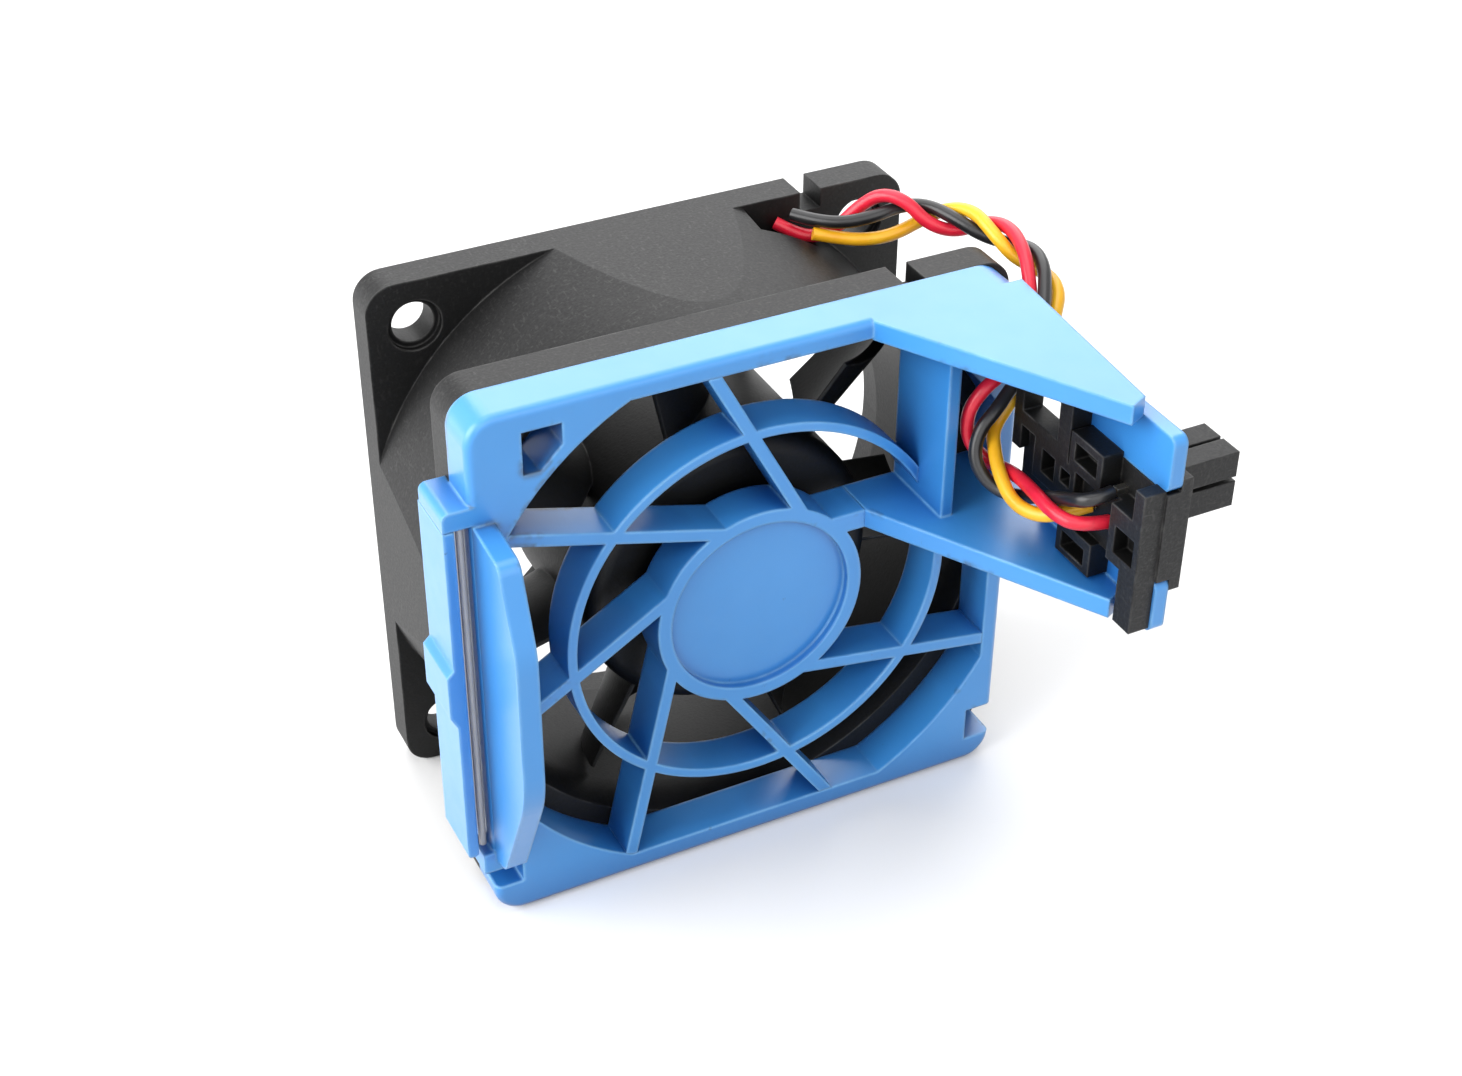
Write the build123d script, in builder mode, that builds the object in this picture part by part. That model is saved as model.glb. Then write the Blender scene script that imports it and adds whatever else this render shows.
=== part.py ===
"""Hot-swap server fan module: a 60 mm axial fan in a blue latching carrier.

Millimetres. +X is the way the plug mates, +Y is the airflow (front to rear), +Z is up.
The origin is on the fan axis, in the rear face of the fan.
"""
import os
from math import pi, radians, sqrt, tan

from build123d import *

# Fan housing
FAN_SIZE = 60.0
FAN_DEPTH = 25.4
FLANGE_THICKNESS = 3.8
FLANGE_CORNER_R = 3.0
HOLE_INSET = 5.0
HOLE_D = 4.4
HOLE_STEP_D = 5.6
HOLE_STEP_DEPTH = 0.8
HOLE_SEAT_D = 5.2
HOLE_SEAT_DEPTH = 1.6
DUCT_WALL = 1.8
INTAKE_FLARE = 0.9
EXHAUST_FLARE = 0.6
BELL_DEPTH = 4.0
BARREL_WALL = 1.3
BARREL_FLARE = 2.1
WIRE_SLOT_INSET = 11.0
WIRE_SLOT_W = 2.4
WIRE_SLOT_DEPTH = 2.2
WIRE_EXIT_INSET = 15.0
WIRE_EXIT_W = 7.6
WIRE_EXIT_L = 4.0
MOTOR_BASE_R = 15.5
MOTOR_BASE_T = 3.0
STRUT_COUNT = 4
STRUT_W = 3.0
STRUT_DEPTH = 3.2
STRUT_BITE = 0.4
STRUT_START_ANGLE = 45.0

# Motor
SHAFT_D = 3.0
BEARING_OD = 8.0
BEARING_W = 3.0
BEARING_CLEARANCE = 0.03
TUBE_WALL = 0.9
TUBE_LENGTH = 14.5
TUBE_FLOOR = 0.8
CLIP_T = 0.5
CLIP_OD = 5.0
CLIP_GAP = 0.3
CLIP_MOUTH = 2.0
SHAFT_FLOOR_GAP = 0.4
SPRING_D = 3.9
SPRING_WIRE = 0.4
SPRING_TURNS = 3
SPRING_END_GAP = 0.1
BOARD_T = 1.0
BOARD_R = 12.0
BOARD_STANDOFF = 1.0
STATOR_R = 12.0
STATOR_T = 5.0
STATOR_POLES = 4
POLE_NECK_W = 4.0
POLE_TIP_T = 1.4
POLE_GAP = 2.0
STATOR_HUB_R = 6.4
INSULATOR_T = 0.8
COIL_T = 2.0
STATOR_LIFT = 3.2
AIR_GAP = 0.4
MAGNET_T = 1.4
YOKE_T = 0.8
MAGNET_LENGTH = 8.0
HALL_ANGLE = 45.0
HALL_L = 3.0
HALL_W = 2.2
DRIVER_ANGLE = 225.0
DRIVER_L = 4.4
DRIVER_W = 3.0
CHIP_R = 9.6
CHIP_H = 1.1

# Impeller
HUB_WALL = 1.5
HUB_FACE_T = 1.4
HUB_REAR_GAP = 0.8
HUB_EDGE_R = 2.0
BOSS_R = 4.0
BOSS_GAP = 2.2
BLADE_COUNT = 7
BLADE_START_ANGLE = 8.0
BLADE_T = 1.3
BLADE_EDGE_T = 0.4
BLADE_ROOT_CHORD = 16.0
BLADE_TIP_CHORD = 18.0
BLADE_ROOT_PITCH = 56.0
BLADE_TIP_PITCH = 46.0
BLADE_CAMBER = 1.8
TIP_CLEARANCE = 0.6
IMPELLER_FRONT_GAP = 1.4

# Carrier frame
BEZEL_DEPTH = 5.0
BEZEL_SETBACK = 1.0
BEZEL_CORNER_R = 3.0
BEZEL_EDGE_R = 0.8
OPENING_MARGIN = 3.1
TOP_WALL = 1.9
BOTTOM_WALL = 2.4
RIGHT_WALL = 2.0
LEFT_WALL = 2.4
WINDOW_INSET = 7.4
WINDOW_W = 4.0
WINDOW_H = 4.6
WINDOW_TOP = 2.4
WINDOW_CUT = 2.3
NOTCH_DEPTH = 3.3
NOTCH_BOTTOM = 3.0
NOTCH_H = 4.1
PEG_CLEARANCE = 0.2
PEG_CHAMFER = 0.4

# Finger guard
GUARD_INSET = 0.2
GUARD_HUB_R = 11.4
GUARD_HUB_RIM = 1.5
GUARD_HUB_FLOOR = 1.6
GUARD_HUB_RECESS = 0.9
RING_R = 20.6
RING_W = 1.0
SPOKE_W = 1.3
SPOKE_OFFSET = 8.6
SPOKE_COUNT = 6
SPOKE_FIRST_ANGLE = 118.0
SPOKE_PITCH = 46.5

# Connector arm, measured from the bezel's right side, front face and top
ARM_INSET = 0.4
ARM_WIDTH = 17.0
ARM_REACH = 23.5
ARM_TIP_W = 1.9
ARM_TAPER = 1.7
PLATE_T = 2.1
ARM_HEIGHT = 21.7
ARM_WALL_INSET = 11.0
ARM_WALL_T = 1.3
ARM_WALL_REACH = 4.6
STRIP_T = 1.5
STRIP_START = 8.0
STRIP_END = 27.3
UPPER_STRIP_DROP = 8.0
LOWER_STRIP_DROP = 18.0
STRIP_END_R = 0.9

# Connector, each block as (rear, front, top, bottom): ahead of the bezel and below its top
PLUG_FIT = 0.1
HOLDER_T = 2.3
SHEET_T = 1.2
SHEET = (6.0, 27.0, 11.2, 17.9)
HOLDER_BLOCKS = {
    "middle box": (15.0, 20.2, 7.4, 11.4),
    "rear box": (9.2, 16.2, 11.2, 15.8),
    "lower box": (14.2, 19.8, 17.7, 21.4),
    "front box": (22.2, 27.0, 11.2, 17.4),
    "post": (25.5, 27.0, 7.8, 11.4),
    "post foot": (24.4, 27.0, 17.2, 23.3),
    "tower front bar": (12.8, 14.8, 2.6, 11.4),
    "tower rear bar": (5.4, 6.8, 2.6, 14.2),
    "tower top bar": (5.4, 14.8, 2.6, 4.4),
    "tower cross bar": (5.4, 14.8, 9.8, 11.4),
}
HOLDER_CELLS = {
    "middle cell": (15.8, 19.4, 8.3, 10.3),
    "rear cell": (10.6, 12.8, 12.0, 14.6),
    "inner cell": (13.8, 15.4, 12.2, 13.8),
    "lower cell": (15.0, 18.8, 18.8, 20.7),
    "front cell": (23.2, 26.2, 13.2, 16.2),
}
CELL_FLOOR = 0.6
NECK_START = 12.7
NECK_END = 27.3
FLANGE_PLATE_T = 1.2
FLANGE_PLATE_BORDER = 1.2
NOSE_LENGTH = 9.2
NOSE_Y = 19.6
NOSE_DROP = 12.6
SILO_PITCH_Y = 3.0
SILO_PITCH_Z = 3.3
SILO_W = 2.6
SILO_H = 2.8
SILO_LENGTH = 5.0
SILO_BORE = 1.5
SILO_BORE_DEPTH = 3.5
CONTACT_W = 0.8
CONTACT_INSET = 0.8

# Latch
LATCH_GAP = 1.6
LATCH_ARM_T = 1.1
LATCH_DEPTH = 6.5
LATCH_DROP = 9.0
LATCH_CAP_T = 2.0
LATCH_END_GAP = 0.4
LATCH_SEAM = 0.12
LATCH_EDGE_R = 0.4
LATCH_CAP_R = 0.8
TOOTH_TOP = 2.4
TOOTH_BOTTOM = -2.4
TOOTH_HEIGHT = 0.7
TOOTH_RAMP = 1.4
TAB_T = 2.2
TAB_EDGE = [(6.0, 18.2), (9.2, 9.5), (9.2, -7.5), (2.6, -21.4)]
TAB_EDGE_RADII = [1.6, 10.0, 12.0, 1.2]
TAB_TOP = 18.8
TAB_BOTTOM = -22.2
SPRING_WIRE_D = 0.75
SPRING_SETBACK = 2.0
SPRING_WALL_GAP = 0.08
SPRING_SEAT = 1.2
FOOT_H = 2.4
FOOT_W = 1.1
FOOT_DEPTH = 3.4
POCKET_W = 3.0
POCKET_RISE = 3.8
POCKET_H = 2.6

# Leads: spots and depths picked by eye along the photographed run, worked out in mm through the solved
# camera by a separate script, then moved by hand where leads overlapped. They end at the contacts.
# The first points are counted from the fan's upper right rear corner, the others from the bezel's.
LEAD_D = 1.4
LEAD_ROUTES = {
    "lead_red": (
        [
            (-15.4, -4.3, -2.5), (-13.7, -5.8, -3.5), (-11.6, -6.9, -3.8), (-9.5, -7.5, -2.7),
            (-7.7, -8.3, -0.5), (-6.1, -10.0, 1.4), (-4.4, -12.1, 1.2), (-2.9, -14.3, -0.9),
            (0.1, -15.1, -2.1), (2.5, -16.7, -0.6), (3.3, -20.1, 0.2), (2.4, -24.2, -0.4),
            (1.3, -27.0, -1.9),
        ],
        [
            (0.5, 1.5, -3.6), (-1.2, -0.9, -4.7), (-3.4, -2.8, -5.9), (-6.0, -4.0, -6.9),
            (-8.3, -4.3, -7.9), (-9.8, -4.0, -10.3), (-9.6, -4.1, -13.6), (-8.1, -5.9, -15.6),
            (-7.4, -9.2, -14.9), (-8.4, -14.1, -13.8), (-8.8, -18.4, -13.8),
            (-7.5, -20.9, -14.0), (-4.4, -21.1, -14.25),
        ],
    ),
    "lead_black": (
        [
            (-14.0, -5.5, -1.3), (-12.4, -7.7, -1.4), (-10.0, -9.8, -1.2), (-7.3, -11.1, -0.4),
            (-4.1, -10.7, -0.1), (-1.8, -12.3, 0.2), (-0.4, -15.7, -0.2), (1.2, -18.0, -1.3),
            (3.4, -19.9, -1.9), (4.3, -23.0, -1.1), (3.5, -26.3, -1.4),
        ],
        [
            (1.9, 1.4, -2.4), (0.3, -1.0, -3.7), (-1.1, -2.8, -4.9), (-3.0, -4.0, -6.8),
            (-5.5, -4.6, -8.7), (-7.4, -5.4, -10.0), (-9.4, -5.6, -11.7), (-10.3, -6.5, -14.3),
            (-9.4, -8.2, -16.4), (-8.0, -10.4, -16.9), (-6.9, -14.3, -14.9),
            (-7.5, -18.5, -12.4), (-6.9, -21.3, -11.1), (-4.4, -21.1, -10.95),
        ],
    ),
    "lead_yellow": (
        [
            (-12.9, -8.0, -2.6), (-10.6, -9.1, -3.1), (-8.2, -10.8, -3.1), (-5.3, -11.6, -2.8),
            (-2.3, -11.7, -1.8), (0.1, -12.8, -0.4), (1.3, -16.2, 0.7), (1.3, -20.2, -0.2),
            (2.4, -22.2, -2.0), (3.9, -23.7, -2.8), (4.4, -26.4, -2.8),
        ],
        [
            (3.8, 1.6, -3.2), (2.4, -0.1, -4.2), (1.0, -1.4, -5.6), (-1.0, -2.9, -7.1),
            (-3.4, -3.9, -8.7), (-5.5, -4.4, -10.7), (-7.2, -4.8, -12.6), (-8.2, -6.9, -13.6),
            (-9.2, -9.6, -14.6), (-9.6, -12.8, -15.8), (-8.6, -15.9, -15.7),
            (-6.9, -17.4, -14.8), (-4.4, -18.1, -14.25),
        ],
    ),
}
CORNER_SHARE = 0.45

# Sizes worked out from the ones above
SEAM_Y = -FAN_DEPTH
FRONT_Y = SEAM_Y - BEZEL_DEPTH
HALF = FAN_SIZE / 2
HOLE_PITCH = FAN_SIZE - 2 * HOLE_INSET
DUCT_R = HALF - DUCT_WALL
INTAKE_R = DUCT_R + INTAKE_FLARE
EXHAUST_R = DUCT_R + EXHAUST_FLARE
BARREL_FRONT_R = DUCT_R + BARREL_WALL
BARREL_REAR_R = BARREL_FRONT_R + BARREL_FLARE
WIRE_SLOT_X = HALF - WIRE_SLOT_INSET
WIRE_EXIT_X = HALF - WIRE_EXIT_INSET
TUBE_R = BEARING_OD / 2 + TUBE_WALL
MAGNET_R = STATOR_R + AIR_GAP
YOKE_R = MAGNET_R + MAGNET_T + YOKE_T
HUB_R = YOKE_R + HUB_WALL
IMPELLER_FRONT = -FAN_DEPTH + IMPELLER_FRONT_GAP
HUB_REAR = -max(MOTOR_BASE_T, STRUT_DEPTH) - HUB_REAR_GAP
TUBE_FRONT = -TUBE_LENGTH
SHAFT_REAR = -TUBE_FLOOR - SHAFT_FLOOR_GAP
CLIP_REAR = SHAFT_REAR - CLIP_T
REAR_BEARING = CLIP_REAR - CLIP_T - CLIP_GAP
FRONT_BEARING = TUBE_FRONT + BEARING_W
BOSS_REAR = TUBE_FRONT - BOSS_GAP
BOARD_REAR = -MOTOR_BASE_T - BOARD_STANDOFF
STATOR_REAR = BOARD_REAR - BOARD_T - STATOR_LIFT
STATOR_FRONT = STATOR_REAR - STATOR_T
PEG_R = HOLE_SEAT_D / 2 - PEG_CLEARANCE
PEG_LENGTH = HOLE_SEAT_DEPTH - PEG_CLEARANCE
BEZEL_LEFT = HALF
BEZEL_RIGHT = HALF - BEZEL_SETBACK
OPENING_R = DUCT_R + OPENING_MARGIN
OPENING_LEFT = -BEZEL_LEFT + LEFT_WALL
OPENING_RIGHT = BEZEL_RIGHT - RIGHT_WALL
OPENING_TOP = HALF - TOP_WALL
OPENING_BOTTOM = -HALF + BOTTOM_WALL
WINDOW_X = -BEZEL_LEFT + WINDOW_INSET
WINDOW_HIGH = HALF - WINDOW_TOP
ARM_OUTER_X = BEZEL_RIGHT - ARM_INSET
ARM_ROOT_X = ARM_OUTER_X - ARM_WIDTH
ARM_TIP_X = ARM_OUTER_X - ARM_TAPER
ARM_WALL_X = ARM_OUTER_X - ARM_WALL_INSET
UPPER_PLATE_BOTTOM = HALF - PLATE_T
LOWER_PLATE_TOP = HALF - ARM_HEIGHT
LOWER_PLATE_BOTTOM = LOWER_PLATE_TOP - PLATE_T
STRIP_X = ARM_OUTER_X - STRIP_T
STRIP_FRONT_Y = FRONT_Y - STRIP_END
UPPER_STRIP_BOTTOM = HALF - UPPER_STRIP_DROP
LOWER_STRIP_TOP = HALF - LOWER_STRIP_DROP
HOLDER_X = STRIP_X - HOLDER_T
SHEET_X = STRIP_X - SHEET_T
NOSE_X = ARM_OUTER_X + FLANGE_PLATE_T
NOSE_TIP_X = NOSE_X + NOSE_LENGTH
NOSE_CENTRE = (FRONT_Y - NOSE_Y, HALF - NOSE_DROP)
CONTACT_PLACES = [
    (NOSE_CENTRE[0] - SILO_PITCH_Y / 2, NOSE_CENTRE[1] - SILO_PITCH_Z / 2),
    (NOSE_CENTRE[0] - SILO_PITCH_Y / 2, NOSE_CENTRE[1] + SILO_PITCH_Z / 2),
    (NOSE_CENTRE[0] + SILO_PITCH_Y / 2, NOSE_CENTRE[1] - SILO_PITCH_Z / 2),
]
LATCH_INNER_X = -BEZEL_LEFT - LATCH_GAP
LATCH_OUTER_X = LATCH_INNER_X - LATCH_ARM_T
LATCH_TOP = HALF - LATCH_DROP
LATCH_ROOT_Z = LATCH_TOP - LATCH_CAP_T
TAB_X = OPENING_LEFT - TAB_T
SPRING_X = -BEZEL_LEFT - SPRING_WALL_GAP - SPRING_WIRE_D / 2
POCKET_BOTTOM = -HALF + POCKET_RISE
POCKET_TOP = POCKET_BOTTOM + POCKET_H
FOOT_TOP = POCKET_TOP + FOOT_H
LATCH_BOTTOM = FOOT_TOP + LATCH_END_GAP

os.makedirs("parts", exist_ok=True)


def at_y(y):
    """Plane square to the fan axis: sketch x is X, sketch y is Z, extrusion runs forward."""
    return Plane.XZ.offset(-y)


def save(part, label):
    part.label = label
    export_step(part, f"parts/{label}.step")


# Fan housing: two square flanges, a flared barrel cut flat by the square, struts and motor seat
with BuildPart() as fan_housing:
    for flange_rear in (0, -FAN_DEPTH + FLANGE_THICKNESS):
        with BuildSketch(at_y(flange_rear)):
            RectangleRounded(FAN_SIZE, FAN_SIZE, FLANGE_CORNER_R)
        extrude(amount=FLANGE_THICKNESS)
    with BuildSketch(Plane.XY):
        with BuildLine():
            Polyline(
                (0, 0), (BARREL_REAR_R, 0), (BARREL_REAR_R, -FLANGE_THICKNESS),
                (BARREL_FRONT_R, -FAN_DEPTH), (0, -FAN_DEPTH), close=True,
            )
        make_face()
    revolve(axis=Axis.Y)
    with BuildSketch(at_y(0)):
        RectangleRounded(FAN_SIZE, FAN_SIZE, FLANGE_CORNER_R)
    extrude(amount=FAN_DEPTH, mode=Mode.INTERSECT)
    with BuildSketch(Plane.XY):
        with BuildLine():
            Polyline(
                (0, 0), (EXHAUST_R, 0), (DUCT_R, -BELL_DEPTH), (DUCT_R, -FAN_DEPTH + BELL_DEPTH),
            )
            TangentArc(
                (DUCT_R, -FAN_DEPTH + BELL_DEPTH), (INTAKE_R, -FAN_DEPTH), tangent=(0, -1)
            )
            Polyline((INTAKE_R, -FAN_DEPTH), (0, -FAN_DEPTH), (0, 0))
        make_face()
    revolve(axis=Axis.Y, mode=Mode.SUBTRACT)
    with BuildSketch(at_y(0)):
        Circle(MOTOR_BASE_R)
    extrude(amount=MOTOR_BASE_T)
    with BuildSketch(at_y(0)):
        with PolarLocations(0, STRUT_COUNT, start_angle=STRUT_START_ANGLE):
            Rectangle(DUCT_R + FLANGE_CORNER_R / 2, STRUT_W, align=(Align.MIN, Align.CENTER))
        Circle(MOTOR_BASE_R - STRUT_W, mode=Mode.SUBTRACT)
        Circle(EXHAUST_R + STRUT_BITE, mode=Mode.INTERSECT)
    extrude(amount=STRUT_DEPTH)
    with BuildSketch(at_y(0)):
        Circle(TUBE_R)
    extrude(amount=TUBE_LENGTH)
    with BuildSketch(at_y(-TUBE_FLOOR)):
        Circle(BEARING_OD / 2)
    extrude(amount=TUBE_LENGTH, mode=Mode.SUBTRACT)
    with Locations(at_y(0)):
        with GridLocations(HOLE_PITCH, HOLE_PITCH, 2, 2):
            Hole(HOLE_D / 2)
    for step_rear, step_d, step_depth in (
        (HOLE_STEP_DEPTH - FLANGE_THICKNESS, HOLE_STEP_D, HOLE_STEP_DEPTH),
        (FLANGE_THICKNESS - FAN_DEPTH, HOLE_STEP_D, HOLE_STEP_DEPTH),
        (HOLE_SEAT_DEPTH - FAN_DEPTH, HOLE_SEAT_D, HOLE_SEAT_DEPTH),
    ):
        with BuildSketch(at_y(step_rear)):
            with GridLocations(HOLE_PITCH, HOLE_PITCH, 2, 2):
                Circle(step_d / 2)
        extrude(amount=step_depth, mode=Mode.SUBTRACT)
    with BuildSketch(at_y(0)):
        with Locations((WIRE_SLOT_X, HALF)):
            Rectangle(WIRE_SLOT_W, 2 * WIRE_SLOT_DEPTH)
    extrude(amount=FAN_DEPTH, mode=Mode.SUBTRACT)
    with BuildSketch(at_y(-FLANGE_THICKNESS)):
        with Locations((WIRE_EXIT_X, HALF)):
            Rectangle(WIRE_EXIT_W, 4 * WIRE_SLOT_DEPTH)
    extrude(amount=WIRE_EXIT_L, mode=Mode.SUBTRACT)
save(fan_housing.part, "fan_housing")

# Impeller: twisted blades trimmed to the duct, on a cup-shaped hub with a shaft boss
with BuildPart() as impeller:
    blade_middle = (IMPELLER_FRONT + HUB_REAR) / 2
    for blade in range(BLADE_COUNT):
        radial = Vector(1, 0, 0).rotate(Axis.Y, BLADE_START_ANGLE + blade * 360 / BLADE_COUNT)
        for radius, chord, pitch in (
            (YOKE_R, BLADE_ROOT_CHORD, BLADE_ROOT_PITCH),
            (DUCT_R, BLADE_TIP_CHORD, BLADE_TIP_PITCH),
        ):
            centre = radial * radius + Vector(0, blade_middle, 0)
            section = Plane(origin=centre, x_dir=(0, 1, 0), z_dir=radial).rotated((0, 0, pitch - 90))
            with BuildSketch(section):
                with BuildLine():
                    ThreePointArc((-chord / 2, 0), (0, -BLADE_CAMBER), (chord / 2, 0))
                    Line((chord / 2, 0), (chord / 2, -BLADE_EDGE_T))
                    ThreePointArc(
                        (chord / 2, -BLADE_EDGE_T), (0, -BLADE_CAMBER - BLADE_T), (-chord / 2, -BLADE_EDGE_T)
                    )
                    Line((-chord / 2, -BLADE_EDGE_T), (-chord / 2, 0))
                make_face()
        loft()
    with BuildSketch(at_y(0)):
        Circle(DUCT_R - TIP_CLEARANCE)
        Circle(YOKE_R + HUB_WALL / 2, mode=Mode.SUBTRACT)
    extrude(amount=FAN_DEPTH, mode=Mode.INTERSECT)
    with BuildSketch(Plane.XY):
        with BuildLine():
            Line((0, IMPELLER_FRONT), (HUB_R - HUB_EDGE_R, IMPELLER_FRONT))
            RadiusArc(
                (HUB_R - HUB_EDGE_R, IMPELLER_FRONT), (HUB_R, IMPELLER_FRONT + HUB_EDGE_R), -HUB_EDGE_R
            )
            Polyline(
                (HUB_R, IMPELLER_FRONT + HUB_EDGE_R), (HUB_R, HUB_REAR), (YOKE_R, HUB_REAR),
                (YOKE_R, IMPELLER_FRONT + HUB_FACE_T), (BOSS_R, IMPELLER_FRONT + HUB_FACE_T),
                (BOSS_R, BOSS_REAR), (SHAFT_D / 2, BOSS_REAR),
                (SHAFT_D / 2, IMPELLER_FRONT + HUB_FACE_T / 2), (0, IMPELLER_FRONT + HUB_FACE_T / 2),
                (0, IMPELLER_FRONT),
            )
        make_face()
    revolve(axis=Axis.Y)
save(impeller.part, "impeller")

# Rotor inside the hub: steel yoke, ring magnet, shaft, spring and clip
with BuildPart() as rotor_yoke:
    with BuildSketch(Plane.XY):
        with BuildLine():
            Polyline(
                (BOSS_R, IMPELLER_FRONT + HUB_FACE_T), (YOKE_R, IMPELLER_FRONT + HUB_FACE_T),
                (YOKE_R, HUB_REAR), (YOKE_R - YOKE_T, HUB_REAR),
                (YOKE_R - YOKE_T, IMPELLER_FRONT + HUB_FACE_T + YOKE_T),
                (BOSS_R, IMPELLER_FRONT + HUB_FACE_T + YOKE_T), close=True,
            )
        make_face()
    revolve(axis=Axis.Y)
save(rotor_yoke.part, "rotor_yoke")

with BuildPart() as rotor_magnet:
    with BuildSketch(at_y((STATOR_FRONT + STATOR_REAR + MAGNET_LENGTH) / 2)):
        Circle(MAGNET_R + MAGNET_T)
        Circle(MAGNET_R, mode=Mode.SUBTRACT)
    extrude(amount=MAGNET_LENGTH)
save(rotor_magnet.part, "rotor_magnet")

with BuildPart() as shaft:
    with BuildSketch(at_y(SHAFT_REAR)):
        Circle(SHAFT_D / 2)
    extrude(amount=SHAFT_REAR - IMPELLER_FRONT - HUB_FACE_T / 2)
save(shaft.part, "shaft")

with BuildPart() as preload_spring:
    coil_rise = BOSS_GAP - SPRING_WIRE - 2 * SPRING_END_GAP
    with BuildLine():
        coil_path = Helix(
            pitch=coil_rise / SPRING_TURNS, height=coil_rise, radius=SPRING_D / 2, direction=(0, -1, 0),
            center=(0, TUBE_FRONT - SPRING_END_GAP - SPRING_WIRE / 2, 0),
        )
    with BuildSketch(Plane(origin=coil_path @ 0, z_dir=coil_path % 0)):
        Circle(SPRING_WIRE / 2)
    sweep()
save(preload_spring.part, "preload_spring")

with BuildPart() as retaining_clip:
    with BuildSketch(at_y(CLIP_REAR)):
        Circle(CLIP_OD / 2)
        Circle(SHAFT_D / 2, mode=Mode.SUBTRACT)
        Rectangle(CLIP_OD, CLIP_MOUTH, align=(Align.MIN, Align.CENTER), mode=Mode.SUBTRACT)
    extrude(amount=CLIP_T)
save(retaining_clip.part, "retaining_clip")

# Bearings, pressed into the tube and running on the shaft
for label, bearing_rear in (("rear_bearing", REAR_BEARING), ("front_bearing", FRONT_BEARING)):
    with BuildPart() as bearing:
        with BuildSketch(at_y(bearing_rear)):
            Circle(BEARING_OD / 2)
            Circle(SHAFT_D / 2 + BEARING_CLEARANCE, mode=Mode.SUBTRACT)
        extrude(amount=BEARING_W)
    save(bearing.part, label)


def stator_outline():
    """Hub ring, pole necks and curved pole shoes, drawn in the running sketch."""
    Circle(STATOR_R)
    Circle(STATOR_R - POLE_TIP_T, mode=Mode.SUBTRACT)
    with PolarLocations(0, STATOR_POLES, start_angle=180 / STATOR_POLES):
        Rectangle(STATOR_R + POLE_TIP_T, POLE_GAP, align=(Align.MIN, Align.CENTER), mode=Mode.SUBTRACT)
    with PolarLocations(0, STATOR_POLES):
        Rectangle(STATOR_R - POLE_TIP_T / 2, POLE_NECK_W, align=(Align.MIN, Align.CENTER))
    Circle(STATOR_HUB_R)
    Circle(TUBE_R, mode=Mode.SUBTRACT)


# Stator: laminated core between two insulators, a winding on every pole
for label, layer_rear, layer_t in (
    ("stator_core", STATOR_REAR, STATOR_T),
    ("front_insulator", STATOR_FRONT, INSULATOR_T),
    ("rear_insulator", STATOR_REAR + INSULATOR_T, INSULATOR_T),
):
    with BuildPart() as layer:
        with BuildSketch(at_y(layer_rear)):
            stator_outline()
        extrude(amount=layer_t)
    save(layer.part, label)

with BuildPart() as windings:
    shoe_inner = sqrt((STATOR_R - POLE_TIP_T) ** 2 - (POLE_NECK_W / 2 + COIL_T) ** 2)
    neck_length = shoe_inner - STATOR_HUB_R
    stack_t = STATOR_T + 2 * INSULATOR_T
    for pole in range(STATOR_POLES):
        radial = Vector(1, 0, 0).rotate(Axis.Y, pole * 360 / STATOR_POLES)
        start = radial * STATOR_HUB_R + Vector(0, (STATOR_FRONT + STATOR_REAR) / 2, 0)
        with BuildSketch(Plane(origin=start, x_dir=(0, 1, 0), z_dir=radial)):
            RectangleRounded(stack_t + 2 * COIL_T, POLE_NECK_W + 2 * COIL_T, COIL_T)
            Rectangle(stack_t, POLE_NECK_W, mode=Mode.SUBTRACT)
        extrude(amount=neck_length)
save(windings.part, "windings")

# Circuit board on the motor base, with its sensor and driver
with BuildPart() as circuit_board:
    with BuildSketch(at_y(BOARD_REAR)):
        Circle(BOARD_R)
        Circle(TUBE_R, mode=Mode.SUBTRACT)
    extrude(amount=BOARD_T)
save(circuit_board.part, "circuit_board")

for label, angle, length, width, height in (
    ("hall_sensor", HALL_ANGLE, HALL_L, HALL_W, CHIP_H),
    ("driver_chip", DRIVER_ANGLE, DRIVER_L, DRIVER_W, CHIP_H),
):
    with BuildPart() as chip:
        with BuildSketch(at_y(BOARD_REAR - BOARD_T)):
            with PolarLocations(CHIP_R, 1, start_angle=angle):
                Rectangle(width, length)
        extrude(amount=height)
    save(chip.part, label)

# Air opening: a circle cut straight by the four frame walls
with BuildSketch(at_y(SEAM_Y)) as opening:
    Circle(OPENING_R)
    with Locations(((OPENING_LEFT + OPENING_RIGHT) / 2, (OPENING_TOP + OPENING_BOTTOM) / 2)):
        Rectangle(OPENING_RIGHT - OPENING_LEFT, OPENING_TOP - OPENING_BOTTOM, mode=Mode.INTERSECT)

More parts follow.
